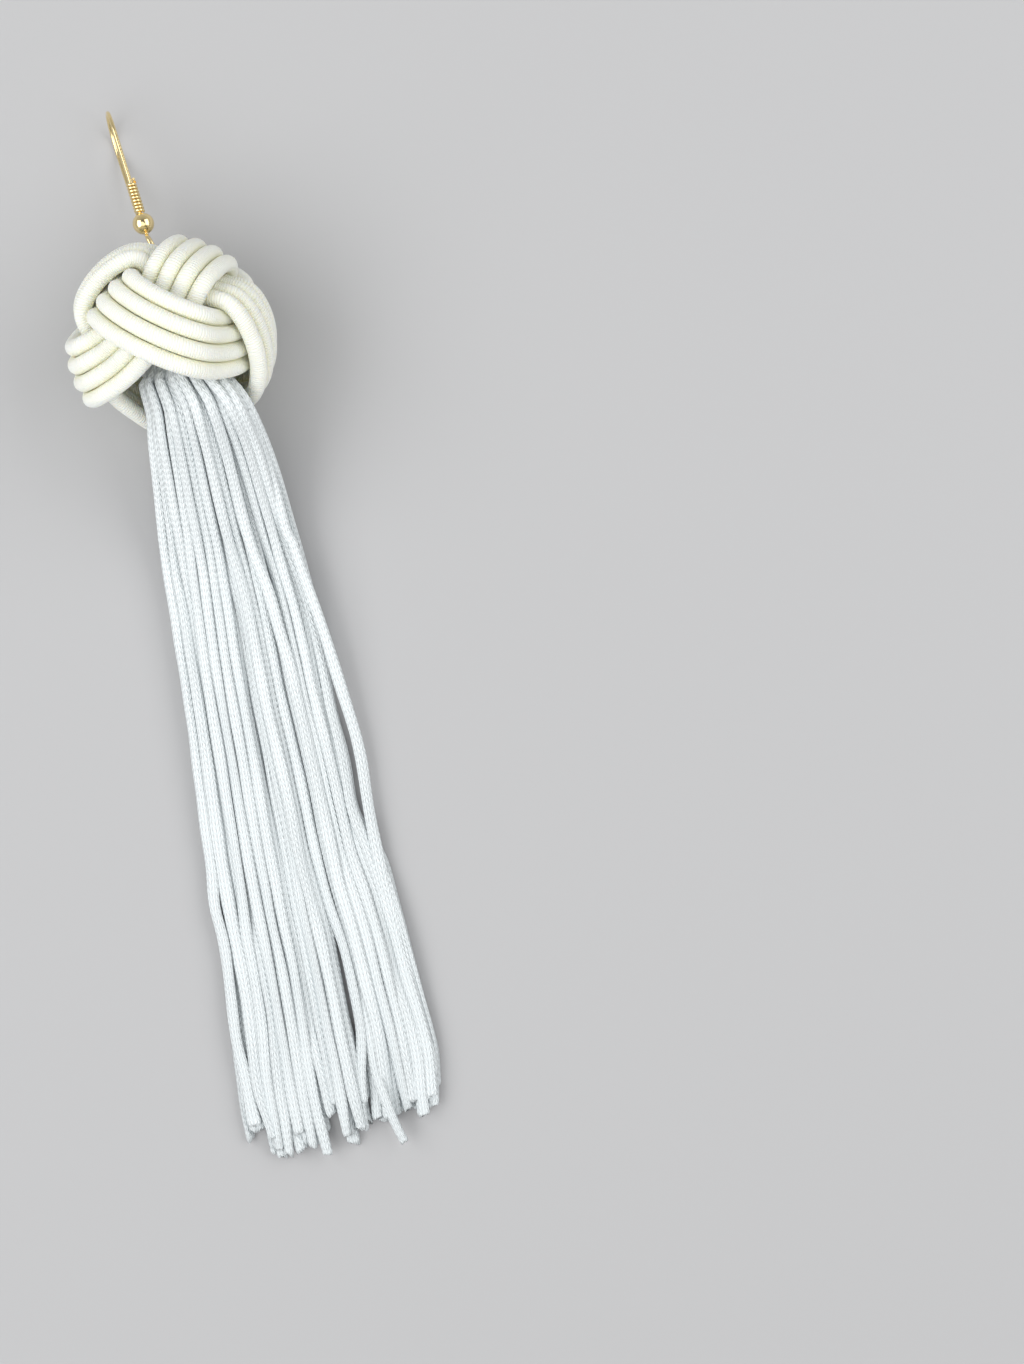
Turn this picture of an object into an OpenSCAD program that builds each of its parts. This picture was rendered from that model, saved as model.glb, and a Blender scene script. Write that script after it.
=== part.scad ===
// Tassel earring: a gilt ear wire, a jump ring, a ball knot of one cord and a long tassel.
// It lies on a flat surface, z = 0, with the hook to +Y, the tassel to -Y and the knot's face up.

/* [Knot] */
// Thickness of the knotted cord
cord_d = 2.35; // [2:0.05:2.8]
// Room between cords that lie side by side
cord_gap = 0.2; // [0.15:0.01:0.35]
// Room between the upper and the lower layer of cords at a crossing
layer_gap = 0.49; // [0.45:0.01:0.7]

/* [Tassel] */
// From the middle of the knot to the longest tips
tassel_l = 122.6; // [100:0.1:150]
// Width of the spread tips
tassel_w = 30.4; // [26:0.1:34]
// Thickness of one strand
strand_d = 1.5; // [1.3:0.05:1.6]
// Strands in the tassel
strand_count = 60; // [48:1:64]
// Thickness of the strand that strays from the right edge
stray_d = 1.5; // [1.2:0.05:1.7]

/* [Hanging loop] */
// Thickness of the loop that the tassel's strands are folded over
loop_cord_d = 1.0; // [0.9:0.02:1.1]
// Room between the two sides of the loop
loop_inside = 1.0; // [0.9:0.02:1.15]

/* [Jump ring] */
// Thickness of the jump ring's wire
ring_wire_d = 0.56; // [0.48:0.02:0.64]
// Inner width of the jump ring
ring_inside = 2.2; // [2.1:0.05:2.8]

/* [Ear wire] */
// Thickness of the ear wire
wire_d = 0.6; // [0.5:0.01:0.7]
// Inner width of the eye at the ear wire's foot
eye_inside = 1.8; // [1.7:0.05:2.2]
// Length of the eye's straight sides
eye_side_l = 1.5; // [0.8:0.05:2.2]
// From the middle of the eye to the crown of the bow
hook_l = 24.1; // [21:0.1:28]
// Width of the bow between the middles of its two wires
bow_w = 8.8; // [7.4:0.1:9.6]
// Straight leg that goes through the ear
leg_l = 11; // [8:0.1:12.5]

/* [Bead and coil] */
// Diameter of the bead
bead_d = 3.2; // [2.4:0.05:3.6]
// Room round the ear wire in the bead and in the coil
wire_play = 0.05; // [0.03:0.01:0.1]
// Thickness of the coiled wire
coil_wire_d = 0.46; // [0.38:0.01:0.52]
// Turns of the coil
coil_turns = 9; // [6:1:11]
// Room between the turns, and at the coil's foot
coil_gap = 0.06; // [0.04:0.01:0.1]
// Length of the coiled wire's end, which stands up from the last turn
coil_end_l = 0.8; // [0.4:0.05:1.2]

/* [Hidden] */

// The cord follows the same round four times, side by side
pass_count = 4;
pitch = cord_d + cord_gap;
layer_step = cord_d + layer_gap;
// A ball of this lay is about five cord widths in radius
knot_r = 5.02 * pitch;
// The knot is a little longer along its axis than it is wide
knot_stretch = 1.03;

// One round goes three times about the axis and swings to four tops and four bottoms
round_deg = 1080;
swing_rate = 4 / 3;
first_low = 45;
// Latitude of the cord's round: its middle, its swing, and two finer swings
lat_mid = 18;
lat_swing = 37.4;
lat_second = -1.8;
lat_third = -3.3;
// How far the cord runs ahead of an even turn, in two swings
lead_first = -1.1;
lead_second = 10.7;
// The change between the layers: small is abrupt
layer_ease = 0.5;
// The four passes sway together to one side, as a share of the pitch
sway = 0.2;
// Lanes fan out with the layer's radius by this share, and with the knot's by the rest
lane_share = 0.8;

// Each pass ends one lane further over, in a change of lanes at the back of the knot
lane_change_at = 900;
lane_change_half = 36;
// The cord's two free ends stop short in the change of lanes
free_end_short = 31;
// Half the room, in degrees, between one pass's end and the next one's start
seam_half = 0.2;

knot_rings = 120;
cord_sides = 8;
wire_sides = 32;
turn_sides = 96;

// How the knot lies: turned about its axis, its foot tipped up, and swung to one side
knot_spin = -12;
knot_tip = -16;
knot_swing = -6;

function unit(v) = v / norm(v);
function smooth(x) = let(c = min(max(x, 0), 1)) c * c * (3 - 2 * c);
function turn_x(p, a) = [p.x, p.y * cos(a) - p.z * sin(a), p.y * sin(a) + p.z * cos(a)];
function turn_y(p, a) = [p.x * cos(a) + p.z * sin(a), p.y, p.z * cos(a) - p.x * sin(a)];
function turn_z(p, a) = [p.x * cos(a) - p.y * sin(a), p.x * sin(a) + p.y * cos(a), p.z];
function laid(p) = turn_z(turn_x(turn_y(p, knot_spin), knot_tip), knot_swing);

// Direction from the knot's middle to the cord's round at t degrees, with y along the axis
function swing_at(t) = swing_rate * (t - first_low);
function latitude(s) = lat_mid - lat_swing * cos(s) + lat_second * cos(2 * s) + lat_third * cos(3 * s);
function azimuth(t, s) = t + lead_first * sin(s) + lead_second * sin(2 * s);
function toward(lat, az) = [cos(lat) * sin(az), sin(lat), cos(lat) * cos(az)];
function round_dir(t) = let(s = swing_at(t)) toward(latitude(s), azimuth(t, s));
// Distance from the knot's middle, out on the upper layer and in on the lower one
function ease(x) = x / sqrt(x * x + layer_ease * layer_ease);
function shell_r(t) = knot_r - layer_step / 2 * ease(sin(2 * swing_at(t))) / ease(sin(120));

// Middle of the cord at t degrees, so many lanes to the side of the round
function cord_at(t, lane) =
    let(out = round_dir(t),
        step = 0.02,
        along = unit(round_dir(t + step) - round_dir(t - step)),
        aside = cross(out, along),
        r = shell_r(t),
        shift = pitch * (lane + sway * cos(2 * swing_at(t))),
        a = shift / (lane_share * r + (1 - lane_share) * knot_r) * 180 / PI,
        p = r * (out * cos(a) + aside * sin(a)))
    [p.x, knot_stretch * p.y, p.z];
function lane_of(k, u) = k - (pass_count - 1) / 2
    - 0.5 * (1 - smooth(u / lane_change_half))
    + 0.5 * smooth((u - round_deg + lane_change_half) / lane_change_half);
function pass_from(k) = k == 0 ? free_end_short : seam_half;
function pass_to(k) = round_deg - (k == pass_count - 1 ? free_end_short : seam_half);
function pass_point(k, u) = cord_at(lane_change_at + u, lane_of(k, u));
function pass_frame(k, u) =
    let(step = 0.5, along = unit(pass_point(k, u + step) - pass_point(k, u - step)),
        p = pass_point(k, u), up = unit(p - along * (p * along)))
    [p, up, cross(along, up)];

// The knot's height once it lies on its lowest side
pass_samples = [for (k = [0:pass_count - 1]) for (u = [0:6:round_deg]) laid(pass_point(k, u))];
knot_z = cord_d / 2 - min([for (p = pass_samples) p.z]);
function from_knot(p) = [0, 0, knot_z] + p;
function flat_dir(a) = [cos(a), sin(a), 0];

// The jump ring lies flat, its near side on the knot's axis, as deep in the knot's top hole as
// the cords at the hole let it
ring_r = (ring_inside + ring_wire_d) / 2;
ring_lean = 90;
ring_clear = 0.13;
// The cords at the hole are those above this height, in an oval about the hole's middle
hole_low = 0.6 * knot_r;
hole_mid = [0.1 * knot_r, -0.25 * knot_r];
hole_half = [0.5 * knot_r, knot_r];
function at_hole(p) = p.y > hole_low
    && norm([(p.x - hole_mid.x) / hole_half.x, (p.z - hole_mid.y) / hole_half.y]) < 1;
hole_cords = [for (k = [0:pass_count - 1]) for (u = [0:2:round_deg])
    let(p = laid(pass_point(k, u))) if (at_hole(p)) p];
function ring_at(h) = laid([0, h, 0]) + ring_r * flat_dir(ring_lean);
function room_at(h) = let(m = ring_at(h))
    min([for (a = [0:15:345]) let(q = m + ring_r * flat_dir(a)) min([for (p = hole_cords) norm(p - q)])])
    - (cord_d + ring_wire_d) / 2;
hold_lowest = 0.8 * knot_r;
hold_highest = 1.5 * knot_r;
hold_step = 0.005 * knot_r;
function hold_from(h) = room_at(h) >= ring_clear || h > hold_highest ? h : hold_from(h + hold_step);
ring_hold = hold_from(hold_lowest);
ring_mid = from_knot(ring_at(ring_hold));

// The hanging loop, measured from the knot's middle along its axis
loop_leg = (loop_inside + loop_cord_d) / 2;
ring_play = 0.16;
loop_top = ring_hold + ring_wire_d / 2 + ring_play + loop_cord_d / 2;
loop_foot = -0.16 * knot_r;
loop_side_l = loop_top - loop_foot - 2 * loop_leg;
loop_play = 0.15;
way_sides = 12;

// The ear wire's eye hangs in the ring, its foot inside, and the wire dips until its bow
// rests on the surface
eye_r = (eye_inside + wire_d) / 2;
eye_top = eye_r + eye_side_l;
eye_play = 0.1;
foot_on_ring = 170;
hook_yaw = 5.9;
hook_twist = 8;
// The eye's plane is turned a little out of the bow's
eye_turn = -12;
// And bent to one side at its top
eye_lean = 10;
bead_rest = 0.05;
eye_foot = [0, eye_top, 0] - (eye_top + eye_r) * [-sin(eye_lean), cos(eye_lean), 0];
eye_mid = ring_mid + (ring_r - (ring_wire_d + wire_d) / 2 - eye_play) * flat_dir(foot_on_ring)
    - turn_z(eye_foot, hook_yaw);
// The shank starts within the eye's wire
shank_sunk = 0.23 * wire_d;
bow_r = bow_w / 2;
bow_drop = bow_r * cos(hook_twist);
shank_l = hook_l - bow_r;
hook_dip = asin((eye_mid.z - bow_drop - wire_d / 2) / norm([shank_l, bow_drop]))
    - atan2(bow_drop, shank_l);
// The leg leans back towards the shank, and is filed a little thinner from within the bow's end
leg_lean = 12;
leg_d = 0.96 * wire_d;
leg_sunk = 0.25 * wire_d;
bead_at = eye_top + wire_d / 2 + bead_rest + bead_d / 2;
coil_from = bead_at + bead_d / 2 + coil_gap + coil_wire_d / 2;
coil_pitch = coil_wire_d + coil_gap;
bore_r = wire_d / 2 + wire_play;
coil_r = bore_r + coil_wire_d / 2;
coil_sides = 5;
coil_steps = 12;
coil_end_steps = 2;

// The tassel: its section keeps one area, that of its strands loosely packed
strand_fill = 0.8;
bundle_area = strand_count * PI * pow(strand_d / 2, 2) / strand_fill;
exit_w = 2 * sqrt(bundle_area / PI);
// Its underside where it leaves the knot, over the knot's lower rim
exit_under = knot_z - 0.42 * knot_r;
knot_reach = 2.4 * knot_r;
tail_l = tassel_l - knot_reach;
// Sections: distance as shares of the knot's reach and of the tail, spread towards the tips,
// sideways shift as a share of the width, underside as a share of that at the exit, and how
// steeply the section rises to the right
AT_KNOT = 0;
AT_TAIL = 1;
SPREAD = 2;
SHIFT = 3;
UNDER = 4;
ROLL = 5;
sections = [
    [0.165, 0, 0.00, 0.008, 0.92, 0.16],
    [0.208, 0, 0.00, 0.008, 0.89, 0.22],
    [0.257, 0, 0.085, 0.045, 1.02, 0.36],
    [0.312, 0, 0.16, 0.056, 1.13, 0.44],
    [0.368, 0, 0.218, 0.059, 1.13, 0.42],
    [0.423, 0, 0.253, 0.059, 1.05, 0.34],
    [0.52, 0, 0.30, 0.058, 0.76, 0.2],
    [0.72, 0, 0.38, 0.047, 0.40, 0.07],
    [1, 0.00, 0.44, 0.035, 0.06, 0],
    [1, 0.11, 0.497, 0.034, 0.00, 0],
    [1, 0.26, 0.525, 0.021, 0.00, 0],
    [1, 0.47, 0.725, 0.025, 0.00, 0],
    [1, 0.66, 0.83, 0.028, 0.00, 0],
    [1, 0.84, 0.963, 0.013, 0.00, 0],
    [1, 0.90, 0.99, 0.006, 0.00, 0]
];
last = len(sections) - 1;
function section_y(s) = -(s[AT_KNOT] * knot_reach + s[AT_TAIL] * tail_l);
function half_w(s) = (exit_w + s[SPREAD] * (tassel_w - exit_w)) / 2;
function half_t(s) = bundle_area / (PI * half_w(s));
function section_x(s) = s[SHIFT] * tassel_w;
function section_z(s) = s[UNDER] * exit_under + half_t(s);

// Locks: seven above and six below between them, each as long as its share of the tassel
UPPER_LENGTHS = [0.957, 0.995, 1.000, 0.984, 0.991, 0.998, 0.966];
LOWER_LENGTHS = [0.945, 0.975, 0.970, 0.962, 0.980, 0.950];
lock_step = 0.28;
lock_sides = 6;
tip_taper = 0.55;
// Half sizes of a lock, and how far its row lies from the middle, as shares of the section's
lock_share_w = 0.19;
lock_share_t = 0.58;
row_apart = 0.42;
// How much flatter the locks lie towards the edges
edge_flat = 0.8;
function lengths(row) = row > 0 ? UPPER_LENGTHS : LOWER_LENGTHS;
// A lock's place across the tassel, as a share of half its width
function lock_u(row, j) = lock_step * (j - (len(lengths(row)) - 1) / 2);
function lock_rise(u) = sqrt(1 - edge_flat * u * u);
// Middle and half sizes of a lock at a section, for the upper row, 1, or the lower row, -1
function lock_mid(row, j, s) = let(u = lock_u(row, j))
    [section_x(s) + half_w(s) * u, section_y(s),
     section_z(s) + s[ROLL] * half_w(s) * u + row * row_apart * half_t(s) * lock_rise(u)];
function lock_half_w(s) = lock_share_w * half_w(s);
function lock_half_t(row, j, s) = lock_share_t * half_t(s) * lock_rise(lock_u(row, j));
// An upright six-sided section across the tassel
function lock_ring(mid, w, t) = [for (i = [0:lock_sides - 1])
    let(a = 360 * (i + 0.5) / lock_sides) mid + [w * cos(a), 0, -t * sin(a)]];

head_r = 0.34 * knot_r;
// The folded head is a little rounder than the core that leaves it
head_over = 1.02;
head_mid = from_knot(laid([0, 0.08 * knot_r, 0]));
// The core inside the locks, from the head to the section where they lie level again
core_last = 7;
core_share = 0.85;
core_rings = 4;
core_sides = 16;
function core_ring(c, w, t, roll) = [for (j = [0:core_sides - 1])
    let(a = 360 * (j + 0.25) / core_sides) c + [w * cos(a), 0, roll * w * cos(a) - t * sin(a)]];
function core_at(s) = core_ring([section_x(s), section_y(s), section_z(s)],
    core_share * half_w(s), core_share * half_t(s), s[ROLL]);

// The stray strand: distance in the same two columns as the sections, and how far beyond the
// edge it bows, as a share of its thickness
BOW_OUT = 2;
stray_rows = [[0.95, 0, -0.65], [1, 0.08, -0.3], [1, 0.18, 0.5], [1, 0.28, 0.95], [1, 0.37, 0.75],
              [1, 0.46, -0.15], [1, 0.56, -0.6]];
edge_lock = len(UPPER_LENGTHS) - 1;
edge_rows = [for (s = sections) [-section_y(s), section_x(s) + half_w(s)]];
height_rows = [for (s = sections) [-section_y(s), lock_mid(1, edge_lock, s).z]];

// The part stands with its middle over the origin
bow_mid = eye_mid + turn_z(turn_x(turn_y([0, shank_l, -bow_r], hook_twist), -hook_dip), hook_yaw);
bow_crown = bow_mid.y + bow_r * cos(hook_yaw) + wire_d / 2;
middle = [0, (tassel_l - bow_crown) / 2, 0];

gold = [0.87, 0.72, 0.42];
ivory = [0.94, 0.93, 0.85];
white = [0.9, 0.92, 0.95];

// A tube through rings of points, each ring going the same way round, with flat ends
module ring_tube(rings) {
    n = len(rings[0]);
    m = len(rings);
    points = [for (r = rings) for (p = r) p];
    sides = [for (i = [0:m - 2]) for (j = [0:n - 1])
        let(a = i * n + j, b = i * n + (j + 1) % n) each [[a, b, b + n], [a, b + n, a + n]]];
    foot = [for (j = [n - 1:-1:0]) j];
    top = [for (j = [0:n - 1]) (m - 1) * n + j];
    polyhedron(points = points, faces = concat(sides, [foot, top]), convexity = 10);
}

module in_knot() {
    translate(middle + [0, 0, knot_z])
        rotate([knot_tip, 0, knot_swing])
            rotate([0, knot_spin, 0])
                children();
}

module on_hook() {
    translate(middle + eye_mid)
        rotate([-hook_dip, 0, hook_yaw])
            rotate([0, hook_twist, 0])
                children();
}

// One pass of the knot's cord, from one change of lanes to the next
module knot_pass(k) {
    from = pass_from(k);
    to = pass_to(k);
    rings = [for (i = [0:knot_rings])
        let(f = pass_frame(k, from + (to - from) * i / knot_rings))
        [for (j = [0:cord_sides - 1])
            let(a = -360 * (j + 0.5) / cord_sides)
            f[0] + cord_d / 2 * (cos(a) * f[1] + sin(a) * f[2])]];
    color(ivory)
        in_knot()
            ring_tube(rings);
}

// A long link of round wire in the YZ plane, its foot's arc centred on the origin
module link(arc_r, side_l, wire_r, sides = wire_sides, arc_sides = 48) {
    for (side = [-1, 1])
        translate([0, 0, side * arc_r])
            rotate([-90, 0, 0])
                cylinder(r = wire_r, h = side_l, $fn = sides);
    for (end = [0, 1])
        translate([0, end * side_l, 0])
            rotate([0, 90, 0])
                rotate([0, 0, 180 - 180 * end])
                    rotate_extrude(angle = 180, $fn = arc_sides)
                        translate([arc_r, 0])
                            circle(r = wire_r, $fn = sides);
}

module hanging_loop() {
    color(white)
        in_knot()
            translate([0, loop_foot + loop_leg, 0])
                link(loop_leg, loop_side_l, loop_cord_d / 2);
}

// The way through the head that the loop runs in
module loop_way() {
    translate([0, loop_foot + loop_leg, 0])
        link(loop_leg, loop_side_l, (loop_cord_d / 2 + loop_play) / cos(180 / way_sides), way_sides, 24);
}

module jump_ring() {
    color(gold)
        translate(middle + ring_mid)
            rotate_extrude($fn = turn_sides)
                translate([ring_r, 0])
                    circle(d = ring_wire_d, $fn = wire_sides);
}

// The ear wire's plane is its own YZ plane: the eye at the origin, the shank up +Y, the leg below
module ear_hook() {
    color(gold)
        on_hook() {
            translate([0, eye_top, 0])
                rotate([0, eye_turn, eye_lean])
                    translate([0, -eye_top, 0])
                        link(eye_r, eye_side_l, wire_d / 2);
            // The shank, through the bead and the coil
            translate([0, eye_top + shank_sunk, 0])
                rotate([-90, 0, 0])
                    cylinder(d = wire_d, h = shank_l - eye_top - shank_sunk, $fn = wire_sides);
            // The bow
            translate([0, shank_l, -bow_r])
                rotate([0, -90, 0])
                    rotate_extrude(angle = 180 + leg_lean, $fn = turn_sides)
                        translate([bow_r, 0])
                            circle(d = wire_d, $fn = wire_sides);
            // The leg and its round end
            translate([0, shank_l, -bow_r])
                rotate([90 - leg_lean, 0, 0])
                    translate([0, -bow_r, -leg_sunk])
                        rotate_extrude($fn = wire_sides) {
                            square([leg_d / 2, leg_l + leg_sunk]);
                            translate([0, leg_l + leg_sunk])
                                intersection() {
                                    circle(d = leg_d, $fn = wire_sides);
                                    square(leg_d);
                                }
                        }
        }
}

module hook_bead() {
    color(gold)
        on_hook()
            translate([0, bead_at, 0])
                rotate([-90, 0, 0])
                    difference() {
                        sphere(d = bead_d, $fn = 64);
                        cylinder(r = bore_r, h = 2 * bead_d, center = true, $fn = wire_sides);
                    }
}

// Middle of the coiled wire after so many turns; past the last turn it stands up
function coil_at(t) =
    let(c = min(t, coil_turns), rest = (t - c) * coil_steps / coil_end_steps)
    [coil_r * cos(360 * c), coil_from + coil_pitch * c + coil_end_l * rest, coil_r * sin(360 * c)];

module hook_coil() {
    steps = coil_turns * coil_steps + coil_end_steps;
    lean = atan2(coil_pitch, 2 * PI * coil_r);
    rings = [for (i = [0:steps])
        let(t = i / coil_steps, p = coil_at(t), c = min(t, coil_turns),
            out = [cos(360 * c), 0, sin(360 * c)],
            tilt = t > coil_turns ? 90 : lean,
            up = [sin(tilt) * sin(360 * c), cos(tilt), -sin(tilt) * cos(360 * c)])
        [for (j = [0:coil_sides - 1])
            let(a = -360 * j / coil_sides)
            p + coil_wire_d / 2 * (cos(a) * out + sin(a) * up)]];
    color(gold)
        on_hook()
            ring_tube(rings);
}

// One lock of strands, from the head's edge to its own tip
module lock(row, j) {
    body = [for (s = sections) lock_ring(lock_mid(row, j, s), lock_half_w(s), lock_half_t(row, j, s))];
    end = sections[last];
    mid = lock_mid(row, j, end);
    low = tip_taper * lock_half_t(row, j, end);
    tip = lock_ring([mid.x, -lengths(row)[j] * tassel_l, row > 0 ? mid.z : low],
                    tip_taper * lock_half_w(end), low);
    ring_tube(concat(body, [tip]));
}

// The folded strands run from the head into the locks in one bundle, round at the head
module core() {
    head = core_ring(head_mid, head_r, head_r, 0);
    exit = core_at(sections[0]);
    rings = [for (i = [0:core_rings - 1]) let(f = i / core_rings) (1 - f) * head + f * exit];
    ring_tube(concat(rings, [for (i = [0:core_last]) core_at(sections[i])]));
}

module stray_strand() {
    edges = [for (r = stray_rows)
        let(reach = r[AT_KNOT] * knot_reach + r[AT_TAIL] * tail_l)
        [lookup(reach, edge_rows) + r[BOW_OUT] * stray_d, -reach, lookup(reach, height_rows)]];
    ring_tube([for (p = edges) lock_ring(p, stray_d / 2, stray_d / 2)]);
}

module tassel() {
    color(white)
        difference() {
            translate(middle) {
                for (row = [1, -1])
                    for (j = [0:len(lengths(row)) - 1])
                        lock(row, j);
                stray_strand();
                core();
                translate(head_mid)
                    sphere(r = head_over * head_r, $fn = 24);
            }
            in_knot()
                loop_way();
        }
}

module knot_pass_1() {
    knot_pass(0);
}

module knot_pass_2() {
    knot_pass(1);
}

module knot_pass_3() {
    knot_pass(2);
}

module knot_pass_4() {
    knot_pass(3);
}

ear_hook();
hook_coil();
hook_bead();
jump_ring();
hanging_loop();
knot_pass_1();
knot_pass_2();
knot_pass_3();
knot_pass_4();
tassel();
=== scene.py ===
# Tassel earring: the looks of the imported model, in metres and in the model's own frame
import math

import bmesh
import bpy
import numpy as np
from bpy.props import FloatProperty, FloatVectorProperty, IntProperty, PointerProperty
from bpy.types import Operator, Panel, PropertyGroup
from mathutils import Matrix, Vector
from mathutils.kdtree import KDTree


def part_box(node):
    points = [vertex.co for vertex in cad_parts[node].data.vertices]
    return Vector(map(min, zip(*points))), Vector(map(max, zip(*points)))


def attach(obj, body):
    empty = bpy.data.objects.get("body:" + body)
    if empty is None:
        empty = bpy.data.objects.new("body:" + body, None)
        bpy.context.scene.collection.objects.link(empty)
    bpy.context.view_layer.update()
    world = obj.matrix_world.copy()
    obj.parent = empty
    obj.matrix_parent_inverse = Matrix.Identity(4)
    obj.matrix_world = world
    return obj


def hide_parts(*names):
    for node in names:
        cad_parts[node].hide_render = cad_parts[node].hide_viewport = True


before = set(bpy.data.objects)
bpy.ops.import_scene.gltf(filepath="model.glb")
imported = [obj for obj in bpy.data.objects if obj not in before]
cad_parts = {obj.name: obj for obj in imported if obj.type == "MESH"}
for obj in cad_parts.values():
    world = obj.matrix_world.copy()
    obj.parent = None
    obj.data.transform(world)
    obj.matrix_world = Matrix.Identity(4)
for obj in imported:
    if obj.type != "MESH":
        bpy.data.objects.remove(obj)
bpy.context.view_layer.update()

bl_info = {
    "name": "Tassel Earring",
    "version": (1, 0, 0),
    "blender": (4, 5, 0),
    "location": "View3D > Sidebar > Earring",
    "description": "Models a gilt ear wire, a ball knot of cord and a long tassel over the packed part",
    "category": "Add Mesh",
}

MM = 0.001

# The source's named sizes, in millimetres
CORD_D = 2.35
CORD_GAP = 0.2
LAYER_GAP = 0.49
TASSEL_L = 122.6
TASSEL_W = 30.4
STRAND_D = 1.5
STRAND_COUNT = 60
RING_WIRE_D = 0.56
RING_INSIDE = 2.2
WIRE_D = 0.6
EYE_INSIDE = 1.8
EYE_SIDE_L = 1.5
HOOK_L = 24.1
BOW_W = 8.8
BEAD_D = 3.2
WIRE_PLAY = 0.05
COIL_WIRE_D = 0.46
COIL_TURNS = 9
COIL_GAP = 0.06

# The knot's round, as in the source
PASS_COUNT = 4
PITCH = CORD_D + CORD_GAP
LAYER_STEP = CORD_D + LAYER_GAP
KNOT_R = 5.02 * PITCH
KNOT_STRETCH = 1.03
ROUND_DEG = 1080
SWING_RATE = 4 / 3
FIRST_LOW = 45
LAT_MID = 18
LAT_SWING = 37.4
LAT_SECOND = -1.8
LAT_THIRD = -3.3
LEAD_FIRST = -1.1
LEAD_SECOND = 10.7
LAYER_EASE = 0.5
SWAY = 0.2
# Lanes fan out with the layer's radius by this share, and with the knot's by the rest
LANE_SHARE = 0.8
# Rounds cross near this angle of the swing
CROSSING_SWING = 60
LANE_CHANGE_AT = 900
LANE_CHANGE_HALF = 36
FREE_END_SHORT = 31
KNOT_SPIN = -12
KNOT_TIP = -16
KNOT_SWING = -6

# The hook's lie, as in the source
HOOK_YAW = 5.9
HOOK_TWIST = 8
BEAD_REST = 0.05

# The tassel's form, as in the source: its folded head and its exit as shares of the knot's radius
HEAD_HEIGHT = 0.08
HEAD_SIZE = 0.34
EXIT_DEPTH = 0.42
# How tightly strands fill a section, and the sections: distance in the knot and in the tail,
# spread, shift, underside and roll
STRAND_FILL = 0.8
SECTIONS = np.array([
    [0.165, 0, 0.00, 0.008, 0.92, 0.16],
    [0.208, 0, 0.00, 0.008, 0.89, 0.22],
    [0.257, 0, 0.085, 0.045, 1.02, 0.36],
    [0.312, 0, 0.16, 0.056, 1.13, 0.44],
    [0.368, 0, 0.218, 0.059, 1.13, 0.42],
    [0.423, 0, 0.253, 0.059, 1.05, 0.34],
    [0.52, 0, 0.30, 0.058, 0.76, 0.2],
    [0.72, 0, 0.38, 0.047, 0.40, 0.07],
    [1, 0.00, 0.44, 0.035, 0.06, 0],
    [1, 0.11, 0.497, 0.034, 0.00, 0],
    [1, 0.26, 0.525, 0.021, 0.00, 0],
    [1, 0.47, 0.725, 0.025, 0.00, 0],
    [1, 0.66, 0.83, 0.028, 0.00, 0],
    [1, 0.84, 0.963, 0.013, 0.00, 0],
    [1, 0.90, 0.99, 0.006, 0.00, 0],
])
KNOT_REACH = 2.4 * KNOT_R
TAIL_L = TASSEL_L - KNOT_REACH
# The stray strand: distance in the knot and in the tail, and how far out it bows
STRAY = np.array([[0.95, 0, -0.65], [1, 0.08, -0.3], [1, 0.18, 0.5], [1, 0.28, 0.95],
                  [1, 0.37, 0.85], [1, 0.46, -0.15], [1, 0.56, -0.6], [1, 0.99, -0.8]])
# Where it starts inside the knot, and where it ends
STRAY_START = 12
STRAY_REACH = 0.935 * TASSEL_L
# The sections in which the strands' places are worked out, in mm below the knot's middle
FIRST_SECTION = 5.0
SECTION_STEP = 1.2
# The outline of the tips from left to right: x and the reach below the knot's middle, in mm
TIPS = np.array([
    (-15.4, 119.2), (-14.4, 120.0), (-13.4, 117.0), (-12.5, 115.0), (-11.8, 121.6), (-10.2, 124.2),
    (-9.0, 123.2), (-7.4, 122.5), (-6.5, 119.8), (-5.8, 124.2), (-4.0, 123.4), (-3.2, 118.8),
    (-0.9, 119.0), (-0.2, 122.8), (1.3, 123.0), (2.6, 121.8), (3.5, 117.8), (4.8, 118.2),
    (5.4, 122.0), (7.0, 122.4), (8.2, 122.6), (9.2, 120.4), (10.2, 118.0), (11.6, 118.8),
    (12.5, 121.0), (15.0, 120.8)])
# One tip lies over its neighbours and leans out: its x, where it starts to lean, where it ends,
# how far it leans and how far it is lifted, in mm
LEANING_X = 6.1
LEAN_FROM = 112.5
LEAN_REACH = 123.8
LEAN_OUT = 2.3
LEAN_HEIGHT = 0.7
# Where the strands part: x and y from the knot's middle, half length and half width, in mm
PARTINGS = [
    (4.1, -99.4, 9.0, 0.42),
    (4.8, -113.7, 3.5, 0.35),
    (-11.7, -82.9, 2.5, 0.25),
    (-12.7, -121.5, 6.5, 0.4),
    (4.2, -122, 7.0, 0.45),
    (10.2, -120, 5.0, 0.25),
    (-6.5, -123, 4.5, 0.12),
]
# Stretches below the knot's middle, as start and length in mm. A strand comes to its full size,
# and turns from round to flat
FILLING_OUT = (-1, 9)
OPENING = (12, 75)
# The bundle's underside turns flat, its strands take more room, and they wander more freely
FLATTENING = (12, 22)
SPREADING = (15, 70)
LOOSENING = (25, 60)
# The stray strand sinks to the surface, and the tips at the right edge turn in
STRAY_SINKING = (36, 30)
TURNING_IN = (110, 12)
# The painted shade in the grooves between strands comes to full strength, and then painted shade darkens
# the strands towards their tips
GROOVING = (12, 60)
TIPS_PAINTED_SHADE = (65, 50)

# Where the camera stands from the knot's middle, in mm, and how far it is turned, in degrees
CAMERA_X = 38.5
CAMERA_BELOW_KNOT = 59.15
CAMERA_TURN = -12.06
# The focal length that fits the photograph, and its long side, in pixels
FOCAL_PX = 2960
LONG_SIDE_PX = 1364

# Outputs of the Texture Coordinate, Wave Texture and Separate XYZ nodes
OBJECT_COORDINATES = 3
WAVE_FACTOR = 1
HEIGHT = 2


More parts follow.
